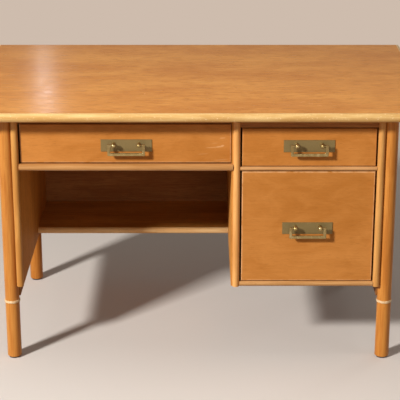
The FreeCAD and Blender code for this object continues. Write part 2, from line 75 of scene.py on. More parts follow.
RIGHT = Vector((1, 0, 0))
REAR = Vector((0, 1, 0))
UP = Vector((0, 0, 1))
MERGE_REACH = 0.001 * MM
SHARP_ANGLE = math.radians(40)


def shade(red: int, green: int, blue: int) -> Colour:
    """Give a linear colour from 8-bit display values.

    Args:
        red: Red, 0 to 255.
        green: Green, 0 to 255.
        blue: Blue, 0 to 255.

    Returns:
        The colour as a shader reads it.
    """
    def linear(value: int) -> float:
        """Undo the display curve of one channel.

        Args:
            value: The channel, 0 to 255.

        Returns:
            The channel as a share of full light.
        """
        share = value / 255
        return share / 12.92 if share <= 0.04045 else ((share + 0.055) / 1.055) ** 2.4
    return (linear(red), linear(green), linear(blue))


def scaled(colour: Colour, share: float) -> Colour:
    """Give a lighter or darker tone of a colour."""
    return (colour[0] * share, colour[1] * share, colour[2] * share)


class Axis(Enum):
    """A direction of the desk: along the top, towards the rear, or up."""

    X = 0
    Y = 1
    Z = 2

    def stretch(self, along: float, across: float) -> Triple:
        """Give pattern scales from feature lengths along and across this direction.

        Args:
            along: Length of a feature along the direction, in metres.
            across: Width of a feature across it, in metres.

        Returns:
            One scale for each of X, Y and Z.
        """
        scales = [1 / across] * 3
        scales[self.value] = 1 / along
        return (scales[0], scales[1], scales[2])


class Wire:
    """A shader value that takes part in sums."""

    def __init__(self, graph: Graph, socket: bpy.types.NodeSocket) -> None:
        """Wrap one output socket of a graph."""
        self.graph = graph
        self.socket = socket

    def __add__(self, other: Wire | float) -> Wire:
        """Add a value."""
        return self.graph.sum("ADD", self, other)

    def __sub__(self, other: Wire | float) -> Wire:
        """Take a value away."""
        return self.graph.sum("SUBTRACT", self, other)

    def __rsub__(self, other: float) -> Wire:
        """Take this value away from a number."""
        return self.graph.sum("SUBTRACT", other, self)

    def __mul__(self, other: Wire | float) -> Wire:
        """Multiply by a value."""
        return self.graph.sum("MULTIPLY", self, other)

    __radd__ = __add__
    __rmul__ = __mul__


class Graph:
    """The node tree of one material or of the room."""

    def __init__(self, owner: bpy.types.Material | bpy.types.World) -> None:
        """Open the owner's node tree.

        Args:
            owner: The material, or the world that is the room.
        """
        owner.use_nodes = True
        self.owner = owner
        self.tree = owner.node_tree

    @classmethod
    def of_material(cls, name: str) -> Graph:
        """Start a new material, which comes with one surface shader."""
        return cls(bpy.data.materials.new(name))

    @property
    def surface(self) -> bpy.types.Node:
        """Give the material's surface shader."""
        return self.tree.nodes["Principled BSDF"]

    def add(self, kind: str, settings: dict[str, object],
            inputs: dict[str | int, object]) -> bpy.types.Node:
        """Add one node, set it up and feed its sockets.

        Args:
            kind: The node's type.
            settings: Values of the node's own properties.
            inputs: Values or wires by socket name or number.

        Returns:
            The new node.
        """
        node = self.tree.nodes.new(kind)
        for name, value in settings.items():
            setattr(node, name, value)
        for key, value in inputs.items():
            self.feed(node.inputs[key], value)
        return node

    def feed(self, socket: bpy.types.NodeSocket, value: Wire | float | tuple) -> None:
        """Link a wire to a socket, or set the socket's own value.

        Args:
            socket: The socket to feed.
            value: A wire, a number, a vector or a colour.
        """
        if isinstance(value, Wire):
            self.tree.links.new(value.socket, socket)
        elif socket.type == "RGBA" and len(value) == 3:
            socket.default_value = (*value, 1)
        else:
            socket.default_value = value

    def sum(self, operation: str, first: Wire | float, second: Wire | float = 0.0) -> Wire:
        """Work out one operation on two values."""
        node = self.add("ShaderNodeMath", {"operation": operation}, {0: first, 1: second})
        return Wire(self, node.outputs[0])

    def spot(self) -> Wire:
        """Give the object coordinates, in metres."""
        return Wire(self, self.add("ShaderNodeTexCoord", {}, {}).outputs["Object"])

    def along(self, axis: Axis) -> Wire:
        """Give one object coordinate, in metres."""
        parts = self.add("ShaderNodeSeparateXYZ", {}, {0: self.spot()})
        return Wire(self, parts.outputs[axis.value])

    def place(self, scale: Triple, shift: Triple = (0, 0, 0)) -> Wire:
        """Give object coordinates for a pattern.

        Args:
            scale: Features per metre along X, Y and Z.
            shift: How far the pattern is moved, in features.

        Returns:
            The scaled and moved coordinates.
        """
        moved = self.add("ShaderNodeMapping", {},
                         {"Vector": self.spot(), "Location": shift, "Scale": scale})
        return Wire(self, moved.outputs[0])

    def blot(self, middle: Triple, reach: Triple, turn: Triple) -> Wire:
        """Give a soft blot on a face.

        Args:
            middle: Where the blot lies, in metres.
            reach: Its half lengths before it is turned, in metres.
            turn: Its turns about X, Y and Z, in degrees.

        Returns:
            A value that falls from 1 in the middle to 0 at the blot's reach.
        """
        angles = tuple(math.radians(angle) for angle in turn)
        near = self.add("ShaderNodeMapping", {"vector_type": "TEXTURE"},
                        {"Vector": self.spot(), "Location": middle, "Rotation": angles, "Scale": reach})
        ball = self.add("ShaderNodeTexGradient", {"gradient_type": "QUADRATIC_SPHERE"},
                        {"Vector": Wire(self, near.outputs[0])})
        return Wire(self, ball.outputs[1])

    def noise(self, spot: Wire, detail: float = 2, rough: float = 0.5, bend: float = 0) -> Wire:
        """Give a noise of one feature per unit of its coordinates.

        Args:
            spot: The coordinates to read it at.
            detail: Finer layers added.
            rough: Strength of the finer layers.
            bend: How far the pattern is swirled.

        Returns:
            Values about one half.
        """
        node = self.add("ShaderNodeTexNoise", {}, {"Vector": spot, "Scale": 1.0, "Detail": detail,
                                                   "Roughness": rough, "Distortion": bend})
        return Wire(self, node.outputs[0])

    def streaks(self, grain: Axis, feature: Pair, shift: Triple = (0, 0, 0), detail: float = 2,
                rough: float = 0.5, bend: float = 0) -> Wire:
        """Give a noise that is drawn out along a grain.

        Args:
            grain: The direction of the grain.
            feature: Length along it and width across it of one feature, in metres.
            shift: How far the pattern is moved, in features.
            detail: Finer layers added.
            rough: Strength of the finer layers.
            bend: How far the pattern is swirled.

        Returns:
            Values about one half.
        """
        return self.noise(self.place(grain.stretch(*feature), shift), detail, rough, bend)

    def clouds(self, size: float, shift: Triple = (0, 0, 0), detail: float = 2, rough: float = 0.5,
               bend: float = 0) -> Wire:
        """Give a noise that is alike in every direction.

        Args:
            size: Size of one feature, in metres.
            shift: How far the pattern is moved, in features.
            detail: Finer layers added.
            rough: Strength of the finer layers.
            bend: How far the pattern is swirled.

        Returns:
            Values about one half.
        """
        return self.noise(self.place((1 / size, 1 / size, 1 / size), shift), detail, rough, bend)

    def step(self, value: Wire, low: float, high: float) -> Wire:
        """Rise smoothly from 0 to 1.

        Args:
            value: The value that steers the rise.
            low: Where the rise starts.
            high: Where it ends.

        Returns:
            A value from 0 to 1.
        """
        node = self.add("ShaderNodeMapRange", {"interpolation_type": "SMOOTHSTEP"},
                        {"Value": value, "From Min": low, "From Max": high})
        return Wire(self, node.outputs[0])

    def blend(self, factor: Wire, first: Wire | Colour, second: Wire | Colour) -> Wire:
        """Mix two colours.

        Args:
            factor: The share of the second colour.
            first: The colour at 0.
            second: The colour at 1.

        Returns:
            The mixed colour.
        """
        node = self.add("ShaderNodeMix", {"data_type": "RGBA"}, {"Factor": factor, 6: first, 7: second})
        return Wire(self, node.outputs[2])

    def bump(self, height: Wire, depth: float, strength: float = 0.5) -> None:
        """Raise the surface.

        Args:
            height: The relief, from 0 to 1.
            depth: The relief's depth in metres.
            strength: Share of the relief that shows.
        """
        node = self.add("ShaderNodeBump", {}, {"Height": height, "Distance": depth, "Strength": strength})
        self.feed(self.surface.inputs["Normal"], Wire(self, node.outputs[0]))

    def finish(self, **sockets: Wire | float | tuple) -> bpy.types.Material:
        """Feed the surface shader.

        Args:
            **sockets: Values or wires by socket name, with underscores for spaces.

        Returns:
            The material.
        """
        for name, value in sockets.items():
            self.feed(self.surface.inputs[name.replace("_", " ")], value)
        return self.owner

    def seen(self) -> Wire:
        """Tell rays that show a surface from rays that carry light about.

        Returns:
            1 for rays from the camera, a gloss or a glass, and 0 for others.
        """
        path = self.add("ShaderNodeLightPath", {}, {})
        camera, glossy, glass = (Wire(self, path.outputs["Is %s Ray" % kind])
                                 for kind in ("Camera", "Glossy", "Transmission"))
        return self.sum("MAXIMUM", self.sum("MAXIMUM", camera, glossy), glass)

    def output(self, factor: Wire, first: bpy.types.Node, second: bpy.types.Node) -> None:
        """Mix two shaders into the tree's output.

        Args:
            factor: The share of the second shader.
            first: The shader at 0.
            second: The shader at 1.
        """
        both = self.add("ShaderNodeMixShader", {}, {0: factor, 1: Wire(self, first.outputs[0]),
                                                    2: Wire(self, second.outputs[0])})
        end = next(node for node in self.tree.nodes if node.type.startswith("OUTPUT"))
        self.tree.links.new(both.outputs[0], end.inputs["Surface"])


@dataclass(frozen=True)
class Rub:
    """A pale mark in lacquer: a patch of short rubbed lines, or one scratch."""

    middle: Triple
    reach: Triple
    strength: float
    turn: Triple = (0, 0, 0)
    scratch: bool = False


@dataclass(frozen=True)
class Span:
    """Where a face starts and ends along one direction."""

    axis: Axis
    low: float
    high: float


@dataclass(frozen=True)
class Veneer:
    """Lacquered wood with a blotchy figure, fine fibres and dark pores."""

    # Length and width of the marks, and the size of the breaks in the pale rim, which is partly wear and
    # partly painted highlight, in metres.
    PORE = (0.02, 0.0016)
    RUBBED_LINE = (0.022, 0.0026)
    BREAK = 1 / 45
    # Where each mark starts and where it is full, in its noise, or in metres from the rim.
    FLECK_STEP = (0.51, 0.65)
    PORE_STEP = (0.63, 0.78)
    RUBBED_STEP = (0.47, 0.6)
    SCRATCH_STEP = (0.02, 0.25)
    RIM_STEP = (0.0021, 0.0044)
    BREAK_STEP = (0.28, 0.55)
    # Shares of the tone, and how strongly the pores show.
    CLOUD_SHARE = 0.4
    FIGURE_SHARE = 0.6
    PORE_SHARE = 0.32
    # What rubbing adds to the light colour (on the rim partly a painted highlight), how rough it leaves the
    # lacquer, and the grain's depth.
    BARE = (0.19, 0.175, 0.12)
    RUBBED_ROUGHNESS = 0.2
    GRAIN_DEPTH = 0.16 * MM

    name: str
    dark: Colour
    light: Colour
    grain: Axis
    blotch: Pair = (0.075, 0.026)
    fleck: Pair = (0.03, 0.003)
    fleck_depth: float = 0.4
    fibre_share: float = 0.3
    shift: Triple = (0, 0, 0)
    gloss: float = 0.36
    sheen: float = 0.12
    contrast: float = 0.11
    rubs: tuple[Rub, ...] = ()
    edges: tuple[Span, ...] = ()
    rim_wear_and_highlight: float = 0.7

    def material(self) -> bpy.types.Material:
        """Build the finish.

        Returns:
            A material of blotches, fibres, pores and wear under lacquer, with a pale rim of wear and
            painted highlight where edges are given.
        """
        graph = Graph.of_material(self.name)
        long, wide = self.blotch
        cloud = graph.streaks(self.grain, (long * 4, wide * 5), self.shift, 2, 0.5, 0.5)
        figure = graph.streaks(self.grain, self.blotch, self.shift, 4, 0.6, 0.9)
        fibre = graph.streaks(self.grain, (long * 0.6, wide * 0.1), self.shift, 3, 0.65, 0.3)
        flecks = graph.streaks(self.grain, self.fleck, self.shift, 2, 0.6, 0.2)
        pores = graph.streaks(self.grain, self.PORE, self.shift, 1, 0.4)
        tone = (cloud * self.CLOUD_SHARE + figure * (self.FIGURE_SHARE - self.fibre_share)
                + fibre * self.fibre_share)
        lightness = graph.step(tone, 0.5 - self.contrast, 0.5 + self.contrast)
        colour = graph.blend(lightness, self.dark, self.light)
        fleck = graph.step(flecks, *self.FLECK_STEP) * self.fleck_depth
        colour = graph.blend(fleck, colour, scaled(self.dark, 0.75))
        pore = graph.step(pores, *self.PORE_STEP)
        colour = graph.blend(pore * self.PORE_SHARE, colour, scaled(self.dark, 0.5))
        rough = flecks * 0.3 + pore * 0.1 + (self.gloss - 0.15)
        pale = tuple(value * 0.95 + more for value, more in zip(self.light, self.BARE))
        for rub in self.rubs:
            mark = self.rubbing(graph, rub)
            colour = graph.blend(mark, colour, pale)
            rough = rough + mark * self.RUBBED_ROUGHNESS
        # Pale rim along the face's edges: partly rubbed wear, partly painted highlight where eased edges
        # catch the light.
        if self.edges:
            colour = graph.blend(self.rim_wear_and_highlight_mask(graph), colour, pale)
        relief = fibre * (self.fibre_share * 2) + flecks * self.fleck_depth - pore * 0.7
        graph.bump(relief, self.GRAIN_DEPTH)
        return graph.finish(Base_Color=colour, Roughness=rough, Specular_IOR_Level=self.sheen)

    def rubbing(self, graph: Graph, rub: Rub) -> Wire:
        """Give the mask of one pale mark.

        Args:
            graph: The material being built.
            rub: Where the mark lies and how strong it is.

        Returns:
            A value that is above nil on the rubbed lines.
        """
        blot = graph.blot(rub.middle, rub.reach, rub.turn)
        if rub.scratch:
            return graph.step(blot, *self.SCRATCH_STEP) * rub.strength
        lines = graph.streaks(self.grain, self.RUBBED_LINE, rub.middle, 2, 0.6, 0.5)
        return blot * graph.step(lines, *self.RUBBED_STEP) * rub.strength

    def rim_wear_and_highlight_mask(self, graph: Graph) -> Wire:
        """Give the mask of the pale rim of a face, partly wear and partly painted highlight.

        Args:
            graph: The material being built.

        Returns:
            A value that rises towards the face's edges, with breaks along them.
        """
        inward = [(span.high - span.low) / 2
                  - graph.sum("ABSOLUTE", graph.along(span.axis) - (span.low + span.high) / 2)
                  for span in self.edges]
        nearest = inward[0]
        for other in inward[1:]:
            nearest = graph.sum("MINIMUM", nearest, other)
        breaks = graph.clouds(self.BREAK, self.shift, 3, 0.6)
        rim = 1 - graph.step(nearest, *self.RIM_STEP)
        return rim * graph.step(breaks, *self.BREAK_STEP) * self.rim_wear_and_highlight


@dataclass(frozen=True)
class Pole:
    """Peeled pole under lacquer, with long fibres, soft clouds, dark specks and pale nicks."""

    # Length and width of the marks, in metres.
    CLOUD = (0.16, 0.016)
    FIBRE = (0.07, 0.0012)
    SPECK = (0.012, 0.0045)
    CHIP = (0.006, 0.0026)
    # Where each mark starts and where it is full, in its noise.
    TONE_STEP = (0.37, 0.63)
    SPECK_STEP = (0.66, 0.76)
    CHIP_STEP = (0.64, 0.7)
    SPECK_SHARE = 0.3
    FIBRE_DEPTH = 0.3 * MM

    name: str
    dark: Colour
    light: Colour
    grain: Axis
    shift: float = 0.0
    gloss: float = 0.34
    sheen: float = 0.25
    nicks: float = 0.0

    def material(self) -> bpy.types.Material:
        """Build the finish.

        Returns:
            A material of fibres, soft clouds, specks and nicks under lacquer.
        """
        graph = Graph.of_material(self.name)
        offset = (self.shift, self.shift, self.shift)
        tone = graph.streaks(self.grain, self.CLOUD, offset, 3, 0.55, 0.4)
        fibre = graph.streaks(self.grain, self.FIBRE, offset, 2, 0.6)
        specks = graph.streaks(self.grain, self.SPECK, offset, 2, 0.5)
        chips = graph.streaks(self.grain, self.CHIP, (self.shift + 7, 3, 5), 2, 0.55)
        mix = graph.step(tone * 0.6 + fibre * 0.4, *self.TONE_STEP)
        colour = graph.blend(mix, self.dark, self.light)
        speck = graph.step(specks, *self.SPECK_STEP) * self.SPECK_SHARE
        colour = graph.blend(speck, colour, scaled(self.dark, 0.5))
        nick = graph.step(chips, *self.CHIP_STEP) * self.nicks
        colour = graph.blend(nick, colour, tuple(min(1.0, value * 1.1 + 0.18) for value in self.light))
        graph.bump(fibre * 0.4 + tone * 0.6 - nick * 0.5, self.FIBRE_DEPTH)
        rough = fibre * 0.14 + nick * 0.2 + (self.gloss - 0.07)
        return graph.finish(Base_Color=colour, Roughness=rough, Specular_IOR_Level=self.sheen)


@dataclass(frozen=True)
class Brass:
    """Aged brass with a brushed grain, tarnish clouds and brighter rubbed spots."""

    # Sizes of the marks in metres, where the pits start and are full, and the relief's depth.
    TARNISH = 1 / 70
    PIT = 1 / 900
    BRUSH_LINE = (0.02, 0.0006)
    PIT_STEP = (0.62, 0.75)
    PIT_SHARE = 0.4
    BRUSH_DEPTH = 0.06 * MM

    name: str
    dull: Colour
    bright: Colour
    gloss: float
    wear: float
    metal: float = 0.9

    def material(self) -> bpy.types.Material:
        """Build the finish.

        Returns:
            A metal material with tarnish and brush lines.
        """
        graph = Graph.of_material(self.name)
        cloud = graph.clouds(self.TARNISH, detail=4, rough=0.6, bend=0.5)
        brush = graph.streaks(Axis.X, self.BRUSH_LINE, rough=0.6)
        pits = graph.clouds(self.PIT)
        rubbed = graph.step(cloud * 0.8 + brush * 0.2, 0.62 - self.wear * 0.3, 0.8 - self.wear * 0.2)
        colour = graph.blend(rubbed, self.dull, self.bright)
        pit = graph.step(pits, *self.PIT_STEP) * self.PIT_SHARE
        colour = graph.blend(pit, colour, scaled(self.dull, 0.5))
        rough = brush * 0.16 + cloud * 0.14 + (self.gloss - 0.15) - rubbed * 0.08
        graph.bump(brush * 0.5 + pits * 0.3, self.BRUSH_DEPTH)
        return graph.finish(Base_Color=colour, Roughness=rough, Metallic=self.metal)


@dataclass(frozen=True)
class Strand:
    """Pale cane strand with fine fibres and a little grime between its turns."""

    # Sizes of the marks and the fibres' depth, in metres, and where the dark starts and ends.
    FIBRE = (0.0007, 0.01)
    GRIME = 1 / 160
    FIBRE_DEPTH = 0.2 * MM
    TONE_STEP = (0.35, 0.6)

    name: str
    light: Colour
    dark: Colour

    def material(self) -> bpy.types.Material:
        """Build the finish.

        Returns:
            A matte fibre material.
        """
        graph = Graph.of_material(self.name)
        fibre = graph.streaks(Axis.Z, self.FIBRE, detail=3, rough=0.6)
        grime = graph.clouds(self.GRIME, detail=3, rough=0.6)
        tone = graph.step(fibre * 0.5 + grime * 0.5, *self.TONE_STEP)
        colour = graph.blend(tone, self.dark, self.light)
        graph.bump(fibre, self.FIBRE_DEPTH)
        return graph.finish(Base_Color=colour, Roughness=grime * 0.2 + 0.4)


@dataclass(frozen=True)
class Plastic:
    """Moulded plastic with a fine pebble and floor scratches."""

    # Sizes of the marks and the pebble's depth, in metres, and where a scratch starts and is full.
    PEBBLE = 1 / 1400
    SCRATCH = (1 / 420, 1 / 90)
    PEBBLE_DEPTH = 0.08 * MM
    SCRATCH_STEP = (0.5, 0.75)

    name: str
    colour: Colour

    def material(self) -> bpy.types.Material:
        """Build the finish.

        Returns:
            A matte moulded material.
        """
        graph = Graph.of_material(self.name)
        pebble = graph.clouds(self.PEBBLE)
        rubbed = graph.streaks(Axis.Y, self.SCRATCH, detail=3, rough=0.6)
        paler = tuple(value * 2.2 + 0.02 for value in self.colour)
        colour = graph.blend(graph.step(rubbed, *self.SCRATCH_STEP), self.colour, paler)
        graph.bump(pebble, self.PEBBLE_DEPTH)
        return graph.finish(Base_Color=colour, Roughness=pebble * 0.2 + 0.45)


class Finishes:
    """Every finish of the desk, made once."""

    HONEY_DARK = shade(188, 116, 46)
    HONEY_LIGHT = shade(215, 146, 68)
    FRONT_DARK = shade(182, 113, 46)
    FRONT_LIGHT = shade(204, 134, 65)
    CASE_DARK = shade(177, 114, 46)
    CASE_LIGHT = shade(208, 143, 68)
    # A darker copy of the case colours: painted shade for the recessed kneehole back, shared by the
    # pedestal back and the top rails.
    SHADED_LEVEL_DARK = shade(150, 92, 46)
    SHADED_LEVEL_LIGHT = shade(184, 121, 66)
    EDGE_DARK = shade(195, 148, 83)
    EDGE_LIGHT = shade(219, 181, 118)
    # Paler than the other poles: painted light on the shelf's edge pole in the kneehole.
    LIT_LIP_DARK = shade(230, 178, 114)
    LIT_LIP_LIGHT = shade(246, 208, 148)
    TRIM_DARK = shade(196, 136, 69)
    TRIM_LIGHT = shade(219, 162, 92)
    RAIL_DARK = shade(176, 123, 68)
    RAIL_LIGHT = shade(199, 148, 92)
    LEG_DARK = shade(182, 110, 41)
    LEG_LIGHT = shade(206, 136, 60)
    BOX_DARK = shade(190, 146, 96)
    BOX_LIGHT = shade(220, 182, 134)
    FRAME_DARK = shade(122, 76, 36)
    FRAME_LIGHT = shade(158, 106, 58)
    PLATE_DULL = shade(129, 109, 66)
    PLATE_BRIGHT = shade(152, 131, 85)
    PULL_DULL = shade(160, 138, 90)
    PULL_BRIGHT = shade(198, 177, 128)
    POST_DULL = shade(156, 134, 82)
    POST_BRIGHT = shade(214, 194, 142)
    CANE_LIGHT = shade(232, 202, 158)
    CANE_DARK = shade(196, 156, 104)
    GLIDE = shade(40, 30, 26)
    # Painted light and shade on single poles: the left trim darker for the left leg's shadow, the pencil
    # rail and rear legs darker for their shade, the divider trim and middle rail lighter.
    POLE_PAINTED_LIGHT = {
        "left_trim_pole": (0.81, 0.75, 0.62),
        "divider_trim_pole": (1.13, 1.12, 1.2),
        "pencil_rail_pole": (0.9, 0.86, 0.8),
        "middle_rail_pole": (1.1, 1.13, 1.25),
        "bottom_rail_pole": (1.02, 1.04, 1.06),
        "front_left_leg": (0.93, 0.95, 1.0),
        "rear_left_leg": (0.86, 0.81, 0.73),
        "rear_right_leg": (0.86, 0.81, 0.73),
    }

    def __init__(self) -> None:
        """Build the materials, wood first."""
        self.top = self.desk_top()
        # The fronts' pale rims are partly painted highlight; the pencil and upper fronts keep it off their
        # upper edges, which lie in the overhang's shade.
        self.fronts = {
            "pencil": self.drawer_front("pencil", 0.93, 0.6, 20 * MM, (3.1, 0.7, 1.9), self.pencil_rubs()),
            "upper": self.drawer_front("upper", 0.98, 0.2, 20 * MM, (7.4, 2.3, 5.2), ()),
            "file": self.drawer_front("file", 0.93, 0.75, 0.0, (11.8, 4.9, 8.3), ()),
        }
        self.upright = self.case_veneer("upright_veneer", self.CASE_DARK, self.CASE_LIGHT, Axis.Z)
        # The level veneer is the darker copy of the case veneer, painted shade.
        self.level = self.case_veneer("level_veneer", self.SHADED_LEVEL_DARK, self.SHADED_LEVEL_LIGHT, Axis.X)
        self.shelf = self.case_veneer("shelf_veneer", self.CASE_DARK, self.CASE_LIGHT, Axis.X)
        self.frame = {}
        self.box = {}
        self.edge = {}
        for axis in (Axis.X, Axis.Y):
            word = axis.name.lower()
            self.frame[axis] = Veneer("frame_wood_" + word, self.FRAME_DARK, self.FRAME_LIGHT, axis,
                                      (0.06, 0.012), gloss=0.65).material()
            self.box[axis] = Veneer("box_wood_" + word, self.BOX_DARK, self.BOX_LIGHT, axis,
                                    (0.07, 0.014), gloss=0.55).material()
            self.edge[axis] = Pole("edge_pole_" + word, self.EDGE_DARK, self.EDGE_LIGHT, axis,
                                   0.27 * axis.value, nicks=0.8).material()
        # The shelf's edge pole is made paler, as painted light.
        self.lit_lip = Pole("shelf_pole", self.LIT_LIP_DARK, self.LIT_LIP_LIGHT, Axis.X, 0.38).material()
        self.poles = {}
        for node in TRIMS:
            self.poles[node] = self.pole_with_painted_light(node, self.TRIM_DARK, self.TRIM_LIGHT, Axis.Z, 0.54)
        for node in RAILS:
            self.poles[node] = self.pole_with_painted_light(node, self.RAIL_DARK, self.RAIL_LIGHT, Axis.X, 0.61)
        for node in LEGS:
            self.poles[node] = self.pole_with_painted_light(node, self.LEG_DARK, self.LEG_LIGHT, Axis.Z, 0.18)
        self.plate = Brass("plate_brass", self.PLATE_DULL, self.PLATE_BRIGHT, 0.5, 0.1, 0.4).material()
        self.pull = Brass("pull_brass", self.PULL_DULL, self.PULL_BRIGHT, 0.24, 0.5).material()
        self.post = Brass("post_brass", self.POST_DULL, self.POST_BRIGHT, 0.32, 0.55).material()
        self.strand = Strand("cane_strand", self.CANE_LIGHT, self.CANE_DARK).material()
        self.glide = Plastic("glide_plastic", self.GLIDE).material()

    @staticmethod
    def case_veneer(name: str, dark: Colour, light: Colour, grain: Axis) -> bpy.types.Material:
        """Build a long-grained veneer of the case."""
        return Veneer(name, dark, light, grain, (0.2, 0.024), gloss=0.6).material()

    def pole_with_painted_light(self, node: str, dark: Colour, light: Colour, grain: Axis,
                    shift: float) -> bpy.types.Material:
        """Build the finish of one pole, made lighter or darker than its kind by a tint of painted light and
        shade.

        Args:
            node: The CAD node of the pole.
            dark: The darker colour of its kind of pole.
            light: The lighter colour of its kind of pole.
            grain: The direction the pole runs in.
            shift: Where the kind lies in the wood's pattern.

        Returns:
            The pole's material.
        """
        tint = self.POLE_PAINTED_LIGHT.get(node, (1.0, 1.0, 1.0))
        tinted = [tuple(value * part for value, part in zip(tone, tint)) for tone in (dark, light)]
        return Pole(node + "_finish", *tinted, grain, shift).material()

    def desk_top(self) -> bpy.types.Material:
        """Build the top's veneer, with a few scratches by its front edge.

        Returns:
            The top's material.
        """
        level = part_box("desktop_panel")[1].z
        marks = ((0.292, -0.296, 28, 16), (0.312, -0.314, -32, 14), (0.336, -0.33, -24, 12),
                 (-0.152, -0.205, 78, 10), (0.12, -0.352, 8, 16))
        rubs = tuple(Rub((x, y, level), (length * MM, 1.1 * MM, 4 * MM), 0.6, (0, 0, turn), True)
                     for x, y, turn, length in marks)
        patch = Rub((0.25, -0.33, level), (0.08, 0.05, 0.03), 0.25)
        return Veneer("top_veneer", self.HONEY_DARK, self.HONEY_LIGHT, Axis.X, (0.085, 0.03),
                      fleck=(0.045, 0.009), fleck_depth=0.5, gloss=0.22, sheen=0.035, contrast=0.17,
                      rubs=rubs + (patch,)).material()

    def drawer_front(self, word: str, tone: float, wear: float, rim_lift_in_shade: float, shift: Triple,
                     rubs: tuple[Rub, ...]) -> bpy.types.Material:
        """Build the veneer of one drawer front, with worn edges.

        Args:
            word: The drawer's word.
            tone: Share of the fronts' colours that its veneer takes.
            wear: How strong its pale rim is, partly rubbed edges and partly painted highlight.
            rim_lift_in_shade: How far the upper end of its pale rim is moved above the front, in metres,
                which keeps the painted highlight off an upper edge in the overhang's shade.
            shift: Where the front lies in the wood's pattern.
            rubs: The pale marks on it.

        Returns:
            The front's material.
        """
        low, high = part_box(word + "_drawer_front")
        edges = (Span(Axis.X, low.x, high.x), Span(Axis.Z, low.z, high.z + rim_lift_in_shade))
        return Veneer(word + "_front_veneer", scaled(self.FRONT_DARK, tone), scaled(self.FRONT_LIGHT, tone),
                      Axis.X, (0.11, 0.05), fleck_depth=0.15, fibre_share=0.12, shift=shift, gloss=0.42,
                      contrast=0.18, rubs=rubs, edges=edges, rim_wear_and_highlight=wear).material()

    @staticmethod
    def pencil_rubs() -> tuple[Rub, ...]:
        """Give the rubbed marks at the right end of the pencil drawer's front.

        Returns:
            A few short pale lines.
        """
        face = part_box("pencil_drawer_front")[0].y
        marks = ((42, 640, 32, 2.2, 0.35), (60, 642, 15, 3.0, 0.5), (68, 645, 7, 3.4, 0.6),
                 (68, 667.2, 12, 2.6, 0.4), (14, 621, 22, 2.0, 0.2), (64, 604, 30, 2.0, 0.25),
                 (46, 652, 12, 1.8, 0.2))
        return tuple(Rub((x * MM, face, z * MM), (long * MM, 6 * MM, wide * MM), strength, (0, -4, 0), True)
                     for x, z, long, wide, strength in marks)


def dress(thing: bpy.types.Object, material: bpy.types.Material) -> None:
    """Give an object one material over all its faces."""
    thing.data.materials.clear()
    thing.data.materials.append(material)


def piece(name: str, mesh: bmesh.types.BMesh, material: bpy.types.Material, body: str) -> bpy.types.Object:
    """Turn a finished bmesh into a piece that rides on a body.

    Args:
        name: The piece's name.
        mesh: Its geometry, in place.
        material: Its finish.
        body: The CAD body it moves with.

    Returns:
        The new object.
    """
    bmesh.ops.remove_doubles(mesh, verts=mesh.verts, dist=MERGE_REACH)
    bmesh.ops.recalc_face_normals(mesh, faces=mesh.faces)
    for face in mesh.faces:
        face.smooth = True
    data = bpy.data.meshes.new(name)
    mesh.to_mesh(data)
    mesh.free()
    thing = bpy.data.objects.new(name, data)
    bpy.context.scene.collection.objects.link(thing)
    dress(thing, material)
    data.set_sharp_from_angle(angle=SHARP_ANGLE)
    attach(thing, body)
    LOG.info("made %s on %s", name, body)
    return thing


def lathe(mesh: bmesh.types.BMesh, profile: list[Pair], start: Vector, axis: Vector, side: Vector,
          steps: int) -> None:
    """Turn a profile about an axis.

    Args:
        mesh: Where the turned form is added.
        profile: Radius and distance along the axis of each corner.
        start: The axis's first point.
        axis: The axis's direction.
        side: A direction square to the axis.
        steps: Divisions round the form.
    """
    corners = [mesh.verts.new(start + axis * along + side * radius) for radius, along in profile]
    edges = [mesh.edges.new(pair) for pair in zip(corners, corners[1:])]
    bmesh.ops.spin(mesh, geom=corners + edges, cent=start, axis=axis, angle=2 * math.pi, steps=steps,
                   use_merge=True)


def ease_edges(mesh: bmesh.types.BMesh, edges: list[bmesh.types.BMEdge], offset: float,
               segments: int) -> None:
    """Round the given edges off.

    Args:
        mesh: The form being shaped.
        edges: The edges to round.
        offset: How far the rounding reaches from each edge.
        segments: Facets across the rounding.
    """
    bmesh.ops.bevel(mesh, geom=edges, offset=offset, offset_type="OFFSET", segments=segments, profile=0.5,
                    affect="EDGES", material=-1)


